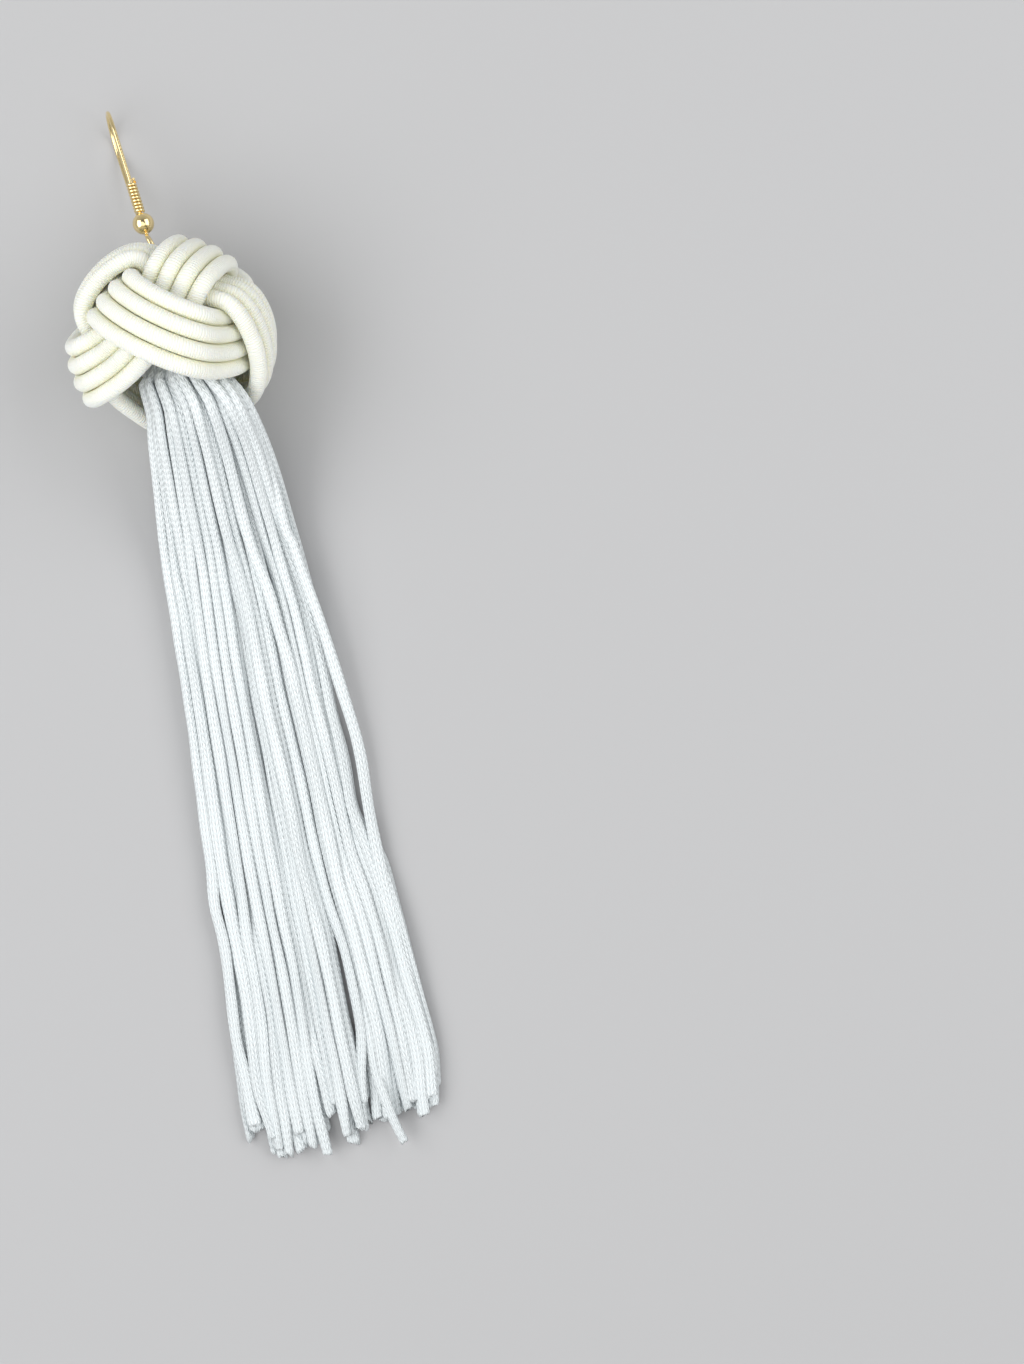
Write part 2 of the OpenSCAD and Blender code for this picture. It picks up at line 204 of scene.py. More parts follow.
class KnotSettings(PropertyGroup):
    cord_d: FloatProperty(name="Cord thickness", description="Thickness of the knotted cord as it shows",
                          default=2.56 * MM, unit="LENGTH")
    thread_pitch: FloatProperty(name="Thread pitch", default=0.38,
                                description="Distance between turns of the wound thread, in mm")
    colour: FloatVectorProperty(name="Cord colour", description="Colour of the knot's wound thread",
                                default=(0.935, 0.96, 0.875), subtype="COLOR")
    # Painted shade: the colour put where cords lie against each other and between the thread's turns
    crevice_shade: FloatVectorProperty(name="Crevice colour", default=(0.96, 0.94, 0.70), subtype="COLOR",
                                 description="Colour where cords lie against each other")


class TasselSettings(PropertyGroup):
    strand_w: FloatProperty(name="Strand width", description="Width of one knitted strand at its tip",
                            default=1.95 * MM, unit="LENGTH")
    strand_t: FloatProperty(name="Strand thickness", default=0.95 * MM, unit="LENGTH",
                            description="Thickness of one knitted strand at its tip")
    stitch_pitch: FloatProperty(name="Stitch length", default=1.0,
                                description="Length of one stitch of the knit, in mm")
    seed: IntProperty(name="Seed", description="Chooses the lie of the strands", default=11)
    colour: FloatVectorProperty(name="Strand colour", description="Colour of the knitted strands",
                                default=(0.83, 0.875, 0.885), subtype="COLOR")
    # Painted shade: the colour put between stitches and between strands
    groove_shade: FloatVectorProperty(name="Groove colour", description="Colour between stitches and strands",
                                default=(0.52, 0.565, 0.58), subtype="COLOR")


class WireSettings(PropertyGroup):
    gold: FloatVectorProperty(name="Gilt colour", description="Colour of the pale gold plating",
                              default=(0.98, 0.79, 0.42), subtype="COLOR")
    roughness: FloatProperty(name="Gilt roughness", description="Roughness of the polished plating",
                             default=0.14)
    coil_end: FloatProperty(name="Coil end", description="Straight stretch of the coiled wire's end",
                            default=0.4 * MM, unit="LENGTH")


class StageSettings(PropertyGroup):
    camera_height: FloatProperty(name="Camera height", description="Height of the camera over the surface",
                                 default=0.45, unit="LENGTH")
    floor_colour: FloatVectorProperty(name="Floor colour", description="Colour of the plain surface",
                                      default=(0.44, 0.44, 0.445), subtype="COLOR")
    key_power: FloatProperty(name="Key light", description="Power of the main soft light, in watts",
                             default=2.6)
    fill_power: FloatProperty(name="Fill light", description="Power of the second soft light, in watts",
                              default=2.2)
    even_light: FloatProperty(name="Even light", default=1.35,
                              description="Strength of the broad light over the whole surface")
    sky: FloatProperty(name="Sky", description="Strength of the even light from all round",
                       default=0.5)


# Material helpers

class Value:
    """What one socket of a material gives, with arithmetic that adds the Math nodes."""

    def __init__(self, paint, socket):
        self.paint = paint
        self.socket = socket

    def math(self, operation, *values):
        return self.paint.node("ShaderNodeMath", {"operation": operation}, dict(enumerate(values)))

    def __add__(self, other):
        return self.math("ADD", self, other)

    __radd__ = __add__

    def __sub__(self, other):
        return self.math("SUBTRACT", self, other)

    def __rsub__(self, other):
        return self.math("SUBTRACT", other, self)

    def __mul__(self, other):
        return self.math("MULTIPLY", self, other)

    __rmul__ = __mul__

    def __truediv__(self, other):
        return self.math("DIVIDE", self, other)

    def __pow__(self, other):
        return self.math("POWER", self, other)

    def __abs__(self):
        return self.math("ABSOLUTE", self)

    def sine(self):
        return self.math("SINE", self)

    def fraction(self):
        return self.math("FRACT", self)

    def clamped(self):
        settings = {"operation": "ADD", "use_clamp": True}
        return self.paint.node("ShaderNodeMath", settings, {0: self, 1: 0.0})


class Paint:
    """A material, or the world, whose nodes are made one call at a time."""

    def __init__(self, name, world=False, **surface):
        self.material = (bpy.data.worlds if world else bpy.data.materials).new(name)
        self.material.use_nodes = True
        self.tree = self.material.node_tree
        self.surface = self.tree.nodes["Background" if world else "Principled BSDF"]
        for socket, value in surface.items():
            self.set(socket.replace("_", " "), value)

    def set(self, socket, value):
        self.fill(self.surface.inputs[socket], value)

    def fill(self, socket, value):
        if isinstance(value, Value):
            self.tree.links.new(value.socket, socket)
        else:
            socket.default_value = value

    def node(self, kind, settings=None, sockets=None, output=0):
        made = self.tree.nodes.new(kind)
        for key, value in (settings or {}).items():
            setattr(made, key, value)
        for key, value in (sockets or {}).items():
            self.fill(made.inputs[key], value)
        return Value(self, made.outputs[output])

    def across_and_along(self):
        """The piece's own UV map: turns round the strand, and millimetres along it."""
        uv = self.node("ShaderNodeUVMap", {"uv_map": "run"})
        split = self.node("ShaderNodeSeparateXYZ", sockets={0: uv}).socket.node
        return Value(self, split.outputs[0]), Value(self, split.outputs[1])

    def stored(self, name):
        """A number stored at each point of the piece."""
        return self.node("ShaderNodeAttribute", {"attribute_name": name}, output="Fac")

    def noise(self, scale, detail=2.0):
        """Cloudy noise in the piece's own metres: a larger scale is finer."""
        place = self.node("ShaderNodeTexCoord", output=OBJECT_COORDINATES)
        sockets = {"Vector": place, "Scale": scale, "Detail": detail}
        return self.node("ShaderNodeTexNoise", sockets=sockets)

    def blend(self, factor, first, second):
        made = self.tree.nodes.new("ShaderNodeMix")
        made.data_type = "RGBA"
        for name, value in (("Factor_Float", factor), ("A_Color", first), ("B_Color", second)):
            socket = next(s for s in made.inputs if s.identifier == name)
            if not isinstance(value, Value) and name != "Factor_Float":
                value = (*value, 1.0)
            self.fill(socket, value)
        return Value(self, next(s for s in made.outputs if s.identifier == "Result_Color"))

    def bump(self, height, distance, strength):
        sockets = {"Height": height, "Distance": distance, "Strength": strength}
        self.set("Normal", self.node("ShaderNodeBump", sockets=sockets))


def darker(colour, share):
    return tuple(c * share for c in colour)


def gilt():
    """Pale polished gold plating, a little uneven."""
    wire = bpy.context.scene.earring_wire
    if "gilt" in bpy.data.materials:
        return bpy.data.materials["gilt"]
    paint = Paint("gilt", Metallic=1.0)
    soft = paint.noise(scale=900.0, detail=3.0)
    bright = (soft * 1.2 - 0.2).clamped()
    uneven = 0.12
    paint.set("Base Color", paint.blend(bright, darker(wire.gold, 0.93), wire.gold))
    paint.set("Roughness", soft * uneven + (wire.roughness - uneven / 2))
    paint.bump(paint.noise(scale=2600.0), distance=0.012 * MM, strength=0.5)
    return paint.material


def wound_thread():
    """Ivory thread wound closely round the cord's core, with painted shade between its turns and where
    cords touch.
    """
    knot = bpy.context.scene.earring_knot
    paint = Paint("wound_thread", Roughness=0.52, Sheen_Weight=0.2, Sheen_Roughness=0.4,
                  Specular_IOR_Level=0.4, Subsurface_Weight=0.7, Subsurface_Scale=1.8 * MM,
                  Subsurface_Radius=(1.0, 0.9, 0.75))
    across, along = paint.across_and_along()
    # How many pitches the thread climbs in one turn round the cord, and how far it wanders
    lean, wander = 2, 1.6
    fibre_pitch, fibre_lean, fibre_height = knot.thread_pitch * 0.31, 5, 0.18
    drift = paint.noise(scale=260.0)
    rib = abs(((along / knot.thread_pitch + across * lean + drift * wander) * math.pi).sine())
    fibre = abs(((along / fibre_pitch + across * fibre_lean) * math.pi).sine())
    # Painted shade: the crevice colour goes between the thread's turns and where cords lie close together
    crevice_shade = paint.stored("crevice_shade")
    patch = (paint.noise(scale=120.0) * 1.6 - 0.3).clamped()
    shade_between_turns = ((1 - rib) * 0.4).clamped()
    clean = paint.blend(patch, darker(knot.colour, 0.95), knot.colour)
    shaded = paint.blend(shade_between_turns, clean, knot.crevice_shade)
    paint.set("Base Color", paint.blend(crevice_shade.clamped(), shaded, knot.crevice_shade))
    paint.bump(rib + fibre * fibre_height, distance=0.14 * MM, strength=0.9)
    return paint.material


def knitted_rayon():
    """A knitted tube: columns of stitches like small V marks run along each strand, with painted shade
    between the stitches and between the strands.
    """
    tassel = bpy.context.scene.earring_tassel
    paint = Paint("knitted_rayon", Roughness=0.5, Sheen_Weight=0.15, Sheen_Roughness=0.35,
                  Specular_IOR_Level=0.4)
    across, along = paint.across_and_along()
    # Columns round a strand, and how far each stitch slants and wanders, in stitches
    columns, slant, wander = 6, 1.6, 0.6
    drift = paint.noise(scale=180.0)
    column = abs((across * columns).fraction() - 0.5)
    turn = along / tassel.stitch_pitch + column * slant + drift * wander
    stitch = (turn * (2 * math.pi)).sine() * 0.5 + 0.5
    leg = 1 - abs(column * 4 - 1) ** 3
    height = (stitch * 0.7 + 0.3) * (leg * 0.8 + 0.2)
    patch = paint.noise(scale=70.0) * 0.2
    # Painted shade: the groove colour fills the stitches' low parts and the places other strands crowd; a
    # stored value below nothing paints light
    unshaded_share = 1 - paint.stored("crevice_shade")
    tint = (height * 1.1 + 0.15 + patch).clamped() * unshaded_share
    paint.set("Base Color", paint.blend(tint, tassel.groove_shade, tassel.colour))
    paint.bump(height, distance=0.18 * MM, strength=0.9)
    return paint.material


def twisted_thread():
    """White thread twisted to a thin cord, for the hanging loop, with painted shade in the twist's grooves.
    """
    paint = Paint("twisted_thread", Roughness=0.6, Sheen_Weight=0.3)
    # Painted shade: the darker colour lies in the twist's grooves
    groove_shade, white = (0.62, 0.60, 0.52), (0.9, 0.9, 0.86)
    place = paint.node("ShaderNodeTexCoord", output=OBJECT_COORDINATES)
    sockets = {"Vector": place, "Scale": 700.0, "Distortion": 0.4}
    twist = paint.node("ShaderNodeTexWave", {"bands_direction": "DIAGONAL"}, sockets, WAVE_FACTOR)
    paint.set("Base Color", paint.blend(twist, groove_shade, white))
    paint.bump(twist, distance=0.08 * MM, strength=0.7)
    return paint.material


def plain_floor():
    """A plain pale surface with the faintest unevenness."""
    paint = Paint("plain_floor", Roughness=0.75, Specular_IOR_Level=0.2)
    colour = tuple(bpy.context.scene.earring_stage.floor_colour)
    cloudy = paint.noise(scale=6.0, detail=3.0)
    paint.set("Base Color", paint.blend(cloudy, darker(colour, 0.985), colour))
    return paint.material


# Modelling helpers

# Points nearer than this count as one, in metres
TOUCHING = 1e-6


def nothing_selected():
    """Leaves edit mode and deselects everything, the frame's nodes too."""
    if bpy.context.object and bpy.context.object.mode != "OBJECT":
        bpy.ops.object.mode_set(mode="OBJECT")
    bpy.ops.object.select_all(action="DESELECT")


def edit():
    bpy.ops.object.mode_set(mode="EDIT")
    bpy.ops.mesh.select_mode(type="VERT")
    bpy.ops.mesh.select_all(action="DESELECT")


def pick_edges(test):
    """Selects the edges of the mesh in edit mode that pass a test."""
    mesh = bmesh.from_edit_mesh(bpy.context.object.data)
    for edge in mesh.edges:
        if test(edge):
            edge.select_set(True)
    mesh.select_flush_mode()
    bmesh.update_edit_mesh(bpy.context.object.data)


def pick_open_edges(test=lambda edge: True):
    pick_edges(lambda edge: edge.is_boundary and test(edge))


def closed_and_smooth():
    """Merges doubles, turns the faces outwards, and shades them smooth up to an angle."""
    bpy.ops.mesh.select_all(action="SELECT")
    bpy.ops.mesh.remove_doubles(threshold=TOUCHING)
    bpy.ops.mesh.normals_make_consistent(inside=False)
    bpy.ops.object.mode_set(mode="OBJECT")
    bpy.ops.object.shade_smooth_by_angle(angle=math.radians(40))


def placed(piece, matrix):
    """Puts a modelled piece in its place, with the place in its mesh."""
    piece.matrix_world = matrix @ piece.matrix_world
    bpy.ops.object.transform_apply(location=True, rotation=True, scale=True)


def dressed(piece, material, slot, *nodes):
    """Gives a piece its material, puts it under the root, and hides the frame's nodes that it stands in
    for.
    """
    piece.data.materials.clear()
    piece.data.materials.append(material)
    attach(piece, "root")
    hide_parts(*nodes)


def node_material(node, material):
    """A frame node keeps its shape and gets a better material."""
    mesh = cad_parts[node].data
    mesh.materials.clear()
    mesh.materials.append(material)


def smooth(x):
    c = np.clip(x, 0, 1)
    return c * c * (3 - 2 * c)


def come_into(distance, stretch):
    """How far a distance has come into a stretch: 0 before it, 1 after it, and smooth between."""
    start, length = stretch
    return smooth((distance - start) / length)


def unit(v):
    return v / np.linalg.norm(v, axis=-1, keepdims=True)


def ease(x):
    return x / np.sqrt(x * x + LAYER_EASE ** 2)


# The knot's route

def laid(p):
    """A point of the upright knot, in millimetres, turned as the knot lies."""
    turn = (Matrix.Rotation(math.radians(KNOT_SWING), 3, "Z")
            @ Matrix.Rotation(math.radians(KNOT_TIP), 3, "X")
            @ Matrix.Rotation(math.radians(KNOT_SPIN), 3, "Y"))
    return np.asarray(p) @ np.array(turn).T


def swing_at(t):
    return np.radians(SWING_RATE * (t - FIRST_LOW))


def round_dir(t):
    """Direction from the knot's middle to the cord's round at t degrees."""
    s = swing_at(t)
    lat = np.radians(LAT_MID - LAT_SWING * np.cos(s) + LAT_SECOND * np.cos(2 * s)
                     + LAT_THIRD * np.cos(3 * s))
    az = np.radians(t + LEAD_FIRST * np.sin(s) + LEAD_SECOND * np.sin(2 * s))
    return np.stack([np.cos(lat) * np.sin(az), np.sin(lat), np.cos(lat) * np.cos(az)], -1)


def cord_at(t, lane):
    """Middle of the cord at t degrees, so many lanes to the side of the round."""
    s = swing_at(t)
    step = 0.02
    out = round_dir(t)
    along = unit(round_dir(t + step) - round_dir(t - step))
    aside = np.cross(out, along)
    layer = ease(np.sin(2 * s)) / ease(math.sin(math.radians(2 * CROSSING_SWING)))
    r = KNOT_R - LAYER_STEP / 2 * layer
    a = PITCH * (lane + SWAY * np.cos(2 * s)) / (LANE_SHARE * r + (1 - LANE_SHARE) * KNOT_R)
    p = r[:, None] * (out * np.cos(a)[:, None] + aside * np.sin(a)[:, None])
    p[:, 1] *= KNOT_STRETCH
    return p


def knot_route():
    """The whole cord, four times round, in the lying knot's millimetres."""
    step = 0.5
    g = np.arange(FREE_END_SHORT, PASS_COUNT * ROUND_DEG - FREE_END_SHORT, step)
    k = np.floor(g / ROUND_DEG)
    u = g - k * ROUND_DEG
    lane = (k - (PASS_COUNT - 1) / 2 - 0.5 * (1 - smooth(u / LANE_CHANGE_HALF))
            + 0.5 * smooth((u - ROUND_DEG + LANE_CHANGE_HALF) / LANE_CHANGE_HALF))
    return laid(cord_at(LANE_CHANGE_AT + g, lane))


def length_along(points):
    """The length of a route up to each of its points."""
    return np.concatenate([[0], np.cumsum(np.linalg.norm(np.diff(points, axis=0), axis=1))])


def evenly(points, step):
    """The same route with points a step apart."""
    length = length_along(points)
    at = np.linspace(0, length[-1], int(round(length[-1] / step)) + 1)
    return np.stack([np.interp(at, length, points[:, i]) for i in range(3)], -1)


ROUTE = knot_route()
KNOT_Z = CORD_D / 2 - ROUTE[:, 2].min()
KNOT_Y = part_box("tassel")[0][1] / MM + TASSEL_L
MIDDLE = np.array([0, KNOT_Y, KNOT_Z])


class Tubes:
    """Gathers tubes that follow routes, and makes them one mesh with a UV map that runs along them."""

    def __init__(self, sides):
        self.sides = sides
        self.points = []
        self.faces = []
        self.uv = []
        self.count = 0

    def add(self, route, up, half_w, half_t, from_mm=0.0, rim=0.0, cut=None):
        """A tube whose thickness lies along up. A rim flattens its two faces, and a cut moves the
        points of its last ring along it."""
        rows, sides = len(route), self.sides
        tangent = unit(np.gradient(route, axis=0))
        up = unit(up - tangent * np.sum(up * tangent, axis=1, keepdims=True))
        side = np.cross(tangent, up)
        half_w = np.broadcast_to(half_w, rows)
        half_t = np.broadcast_to(half_t, rows)
        angle = 2 * math.pi * np.arange(sides) / sides
        rise = np.sin(angle) * (1 - rim + 2 * rim * np.cos(angle) ** 2)
        sideways = half_w[:, None, None] * np.cos(angle)[None, :, None] * side[:, None]
        upwards = half_t[:, None, None] * rise[None, :, None] * up[:, None]
        rings = route[:, None] + sideways + upwards
        end_bulge = 0.35
        ends = np.stack([route[0] - tangent[0] * half_t[0] * end_bulge,
                         route[-1] + tangent[-1] * half_t[-1] * end_bulge])
        if cut is not None:
            # A cut end: slanted, a little ragged, and hollow
            rings[-1] += cut[:, None] * tangent[-1]
            ends[1] = route[-1] - tangent[-1] * half_t[-1]
        self.points.append(np.concatenate([rings.reshape(-1, 3), ends]))
        length = from_mm + length_along(route)
        i = np.arange(rows - 1)
        for j in range(sides):
            ring, beside = i * sides + j, i * sides + (j + 1) % sides
            self.faces.append(np.stack([ring, ring + sides, beside + sides, beside], -1) + self.count)
            u1, u2, v1, v2 = j / sides, (j + 1) / sides, length[:-1], length[1:]
            corners = ((u1, v1), (u1, v2), (u2, v2), (u2, v1))
            self.uv.append(np.stack([np.stack([np.full(rows - 1, u), v], -1) for u, v in corners], 1))
        j = np.arange(sides)
        beside = (j + 1) % sides
        last_ring = self.count + (rows - 1) * sides
        first_end = self.count + rows * sides
        caps = np.concatenate([
            np.stack([self.count + j, self.count + beside, np.full(sides, first_end)], -1),
            np.stack([last_ring + beside, last_ring + j, np.full(sides, first_end + 1)], -1)])
        self.faces.append(caps)
        ends_v = np.repeat([length[0], length[-1]], sides)
        self.uv.append(np.stack([np.stack([caps[:, c] % sides / sides, ends_v], -1) for c in range(3)], 1))
        self.count += rows * sides + 2

    def made(self, name):
        mesh = bpy.data.meshes.new(name)
        points = np.concatenate(self.points)
        # What lies on the surface is pressed flat there
        points[:, 2] = np.maximum(points[:, 2], 0)
        faces = [tuple(f) for block in self.faces for f in block.tolist()]
        mesh.from_pydata(points.tolist(), [], faces)
        layer = mesh.uv_layers.new(name="run")
        layer.uv.foreach_set("vector", np.concatenate([b.reshape(-1, 2) for b in self.uv]).ravel())
        mesh.polygons.foreach_set("use_smooth", [True] * len(faces))
        mesh.update()
        piece = bpy.data.objects.new(name, mesh)
        bpy.context.scene.collection.objects.link(piece)
        return piece


def tree_of(points):
    tree = KDTree(len(points))
    for i, point in enumerate(points):
        tree.insert(point, i)
    tree.balance()
    return tree


def store_crevice_shade(piece, values):
    """Stores the painted shade at each point, mostly from how deep it lies between its neighbours, for the
    material to read.
    """
    layer = piece.data.attributes.new("crevice_shade", "FLOAT", "POINT")
    layer.data.foreach_set("value", values)


def shade_strands(piece, owner, middles, middle_owner, reach, weight, painted_light_lift):
    """Painted shade: how much of each point's outlook other strands take up, less a lift that paints light.
    """
    tree = tree_of(middles)
    mesh = piece.data
    normals = np.empty(len(mesh.vertices) * 3)
    mesh.vertex_normals.foreach_get("vector", normals)
    normals = normals.reshape(-1, 3)
    values = -painted_light_lift
    for index, vertex in enumerate(mesh.vertices):
        near = [i for _, i, _ in tree.find_range(vertex.co, reach) if middle_owner[i] != owner[index]]
        if near:
            away = middles[near] - np.array(vertex.co)
            far = np.linalg.norm(away, axis=1)
            facing = np.clip(away @ normals[index] / far, 0, None)
            values[index] += min(1.0, (facing * (1 - far / reach)).sum() * weight[index])
    store_crevice_shade(piece, values)


def shade_cord(piece, route, sides, cord_d):
    """How near each point of the cord's surface lies to another stretch of the cord, stored as painted
    shade.
    """
    tree = tree_of(route)
    own_stretch = 6 * MM
    apart = int(own_stretch / np.linalg.norm(np.diff(route, axis=0), axis=1).mean())
    cord_r = cord_d * 0.5
    values = []
    for index, vertex in enumerate(piece.data.vertices):
        ring = min(index // sides, len(route) - 1)
        near = [d for _, i, d in tree.find_range(vertex.co, cord_d) if abs(i - ring) > apart]
        values.append(max(0.0, 1 - (min(near) - cord_r) / cord_r) if near else 0.0)
    store_crevice_shade(piece, values)


# The tassel's strands

def tassel_form(dist):
    """Half width, middle x, underside, roll and half thickness at distances from the knot's middle."""
    reach = SECTIONS[:, 0] * KNOT_REACH + SECTIONS[:, 1] * TAIL_L
    area = STRAND_COUNT * math.pi * (STRAND_D / 2) ** 2 / STRAND_FILL
    exit_w = 2 * math.sqrt(area / math.pi)
    exit_under = KNOT_Z - EXIT_DEPTH * KNOT_R
    columns = [(exit_w + SECTIONS[:, 2] * (TASSEL_W - exit_w)) / 2, SECTIONS[:, 3] * TASSEL_W,
               SECTIONS[:, 4] * exit_under, SECTIONS[:, 5]]
    # The corners at the sections are rounded off, and the strands lie a little wider than the solid
    offsets, wider = (-2, -1, 0, 1, 2), 1.03
    found = []
    for column in columns:
        found.append(sum(np.interp(dist + d, reach, column) for d in offsets) / len(offsets))
    half_w, mid_x, under, roll = found
    return half_w * wider, mid_x, under, roll, area / (math.pi * half_w)


def settled(points, half_w, half_t, flat, rounds, gap, squash):
    """Strands' middles pushed apart, and held in a section that is flatter below towards the tail."""
    push_share, sinking, edge_share, edge_room = 0.45, 0.035, 0.2, 0.02
    far_off = np.eye(len(points)) * 9
    for _ in range(rounds):
        away = points[:, None] - points[None]
        # No strand pushes itself
        dist = np.hypot(away[:, :, 0], away[:, :, 1] * squash) + far_off
        push = np.clip(gap - dist, 0, None)
        points += push_share * ((push / dist)[:, :, None] * away).sum(1)
        points[:, 1] -= sinking * flat
        u = np.clip(points[:, 0] / half_w, -1, 1)
        dome = np.sqrt(1 - u ** 2 * (1 - edge_share * flat))
        low = -half_t * (flat + (1 - flat) * dome)
        high = half_t * ((1 - flat) * dome + flat * (2 * dome - 1))
        points[:, 0] = np.clip(points[:, 0], -half_w, half_w)
        points[:, 1] = np.clip(points[:, 1], low, np.maximum(high, low + edge_room))
    return points


def parted(points, dist, mid_x):
    """Strands' middles moved out of the partings that they would cross."""
    own_half, share = STRAND_D * 0.62, 0.8
    # A parting narrows to nothing at this many times its half length
    closed_at = 1.5
    for x, y, half_l, half_w in PARTINGS:
        apart = smooth(1.6 * (1 - abs(dist + y) / half_l / closed_at))
        off = points[:, 0] + mid_x - x
        need = np.clip(own_half + half_w - abs(off), 0, None) * apart
        points[:, 0] += np.where(off < 0, -need, need) * share
    return points


def stray_strand(dist, half_w, mid_x, under, roll, half_t):
    """The stray strand's x and height: it bows out on the right and sinks to the surface."""
    at = STRAY[:, 0] * KNOT_REACH + STRAY[:, 1] * TAIL_L
    edge = mid_x + half_w * 0.97
    x = edge + np.interp(dist, at, STRAY[:, 2]) * STRAND_D
    averaged = 7
    x = np.convolve(np.pad(x, averaged // 2, "edge"), np.ones(averaged) / averaged, "valid")
    # Until it leaves the bundle it runs inside the bundle's edge
    inset, leaving_l = 1.3, 2
    x = np.where(dist < at[0] + leaving_l, edge - inset, x)
    # Near the knot it lies high on the bundle's right side
    height = under + half_t + roll * half_w * 0.8 + 0.15 * half_t
    sunk = 1 - 0.45 * come_into(dist, STRAY_SINKING)
    return x, np.maximum(height * sunk, STRAND_D * 0.5)


def lie_of_strands(dist, form, stray_x, rng):
    """Every other strand's place in each section, and the room that their middles have in height."""
    half_w, mid_x, _, _, half_t = form
    count = STRAND_COUNT - 1
    at_edge, at_face = 0.52, 0.46
    room_w, room_t = half_w - STRAND_D * at_edge, half_t - STRAND_D * at_face
    flat = come_into(dist, FLATTENING)
    # Towards the tips they lie further apart, and more side by side than one over another
    spread = come_into(dist, SPREADING)
    squash = 1.15 + 0.85 * spread
    gap = STRAND_D * (0.98 + 0.17 * spread)
    # They start in an even spiral
    i = np.arange(count)
    radius, turn = np.sqrt((i + 0.5) / count), i * math.pi * (3 - math.sqrt(5))
    points = np.stack([radius * np.cos(turn) * room_w[0], radius * np.sin(turn) * room_t[0]], -1)
    first_rounds, rounds = 200, 12
    points = settled(points, room_w[0], room_t[0], flat[0], first_rounds, gap[0], squash[0])
    # Each wanders in its own waves, whose lengths are in mm
    wave, phase = rng.uniform(28, 75, (2, count)), rng.uniform(0, 2 * math.pi, (2, count))
    strength = rng.uniform(0.012, 0.05, count)
    # They keep clear of the stray strand's bow
    bow_at, bow_half, clear = 66, 15, 2.65
    bowed = smooth(1.8 * (1 - abs(dist - bow_at) / bow_half))
    right_w = room_w + np.minimum(stray_x - mid_x - clear - room_w, 0) * bowed
    found = []
    for s in range(len(dist)):
        if s:
            points[:, 0] *= room_w[s] / room_w[s - 1]
            points[:, 1] *= room_t[s] / room_t[s - 1]
            drift = strength * (0.35 + 1.1 * come_into(dist[s], LOOSENING)) * SECTION_STEP
            points[:, 0] += drift * np.sin(2 * math.pi * dist[s] / wave[0] + phase[0])
            points[:, 1] += 0.5 * drift * np.sin(2 * math.pi * dist[s] / wave[1] + phase[1])
        points = settled(points, room_w[s], room_t[s], flat[s], rounds, gap[s], squash[s])
        points = parted(points, dist[s], mid_x[s])
        points[:, 0] = np.minimum(points[:, 0], right_w[s])
        found.append(points.copy())
    # Each place is averaged with those in the sections about it
    found = np.array(found)
    kernel = np.array([1, 2, 3, 4, 3, 2, 1]) / 16
    beyond = len(kernel) // 2
    padded = np.concatenate([found[:1]] * beyond + [found] + [found[-1:]] * beyond)
    return sum(w * padded[j:j + len(found)] for j, w in enumerate(kernel)), room_t


def strand_routes(seed):
    """Each strand's route from the head to the tips, its reach, and whether it leans, in the
    knot's millimetres."""
    rng = np.random.default_rng(seed)
    dist = np.arange(FIRST_SECTION, TASSEL_L + SECTION_STEP, SECTION_STEP)
    form = tassel_form(dist)
    _, mid_x, under, roll, half_t = form
    stray_x, stray_z = stray_strand(dist, *form)
    found, room_t = lie_of_strands(dist, form, stray_x, rng)
    middle_z = under + half_t
    # The deeper a strand lies, the shorter it may be
    ragged, deep_short = 0.5, 4.6
    routes = []
    for k in range(STRAND_COUNT - 1):
        x = mid_x + found[:, k, 0]
        z = middle_z + roll * found[:, k, 0] + found[:, k, 1]
        route = np.stack([x, -dist, z - KNOT_Z], -1)
        height = found[-1, k, 1] / room_t[-1]
        short = abs(rng.normal(0, ragged)) + (0.5 - 0.5 * height) * rng.uniform(0.0, deep_short)
        reach = np.interp(x[-1], TIPS[:, 0], TIPS[:, 1]) - short
        routes.append([route, reach, False])
    top = np.argmax(found[-1, :, 1] / room_t[-1] - abs(mid_x[-1] + found[-1, :, 0] - LEANING_X))
    routes[top][1:] = LEAN_REACH, True
    stray = np.stack([stray_x, -dist, stray_z - KNOT_Z], -1)
    routes.append([stray[dist > STRAY_START], STRAY_REACH, False])
    return routes


def headward(route):
    """The way from the exit up into the folded head, where the strand ends over the hanging loop."""
    head = laid([0, HEAD_HEIGHT * KNOT_R, 0])
    inset, exit_r = 0.9, 6.5
    head_r = HEAD_SIZE * KNOT_R - inset
    start = route[0]
    spoke = np.array([start[0] - head[0], 0, start[2] - head[2]])
    share = min(1.0, np.linalg.norm(spoke) / exit_r)
    spoke = unit(spoke) * head_r * (0.35 + 0.55 * share)
    up = np.array([0, 1.0, 0])
    top = head + spoke * 0.25 + up * head_r * 0.72
    shoulder = head + spoke * 0.72 + up * head_r * 0.55
    side = head + spoke
    lower_side = side - up * 2.2
    neck = (side - up * 4.2) * 0.5 + start * 0.5
    return np.array([top, shoulder, side, lower_side, neck])


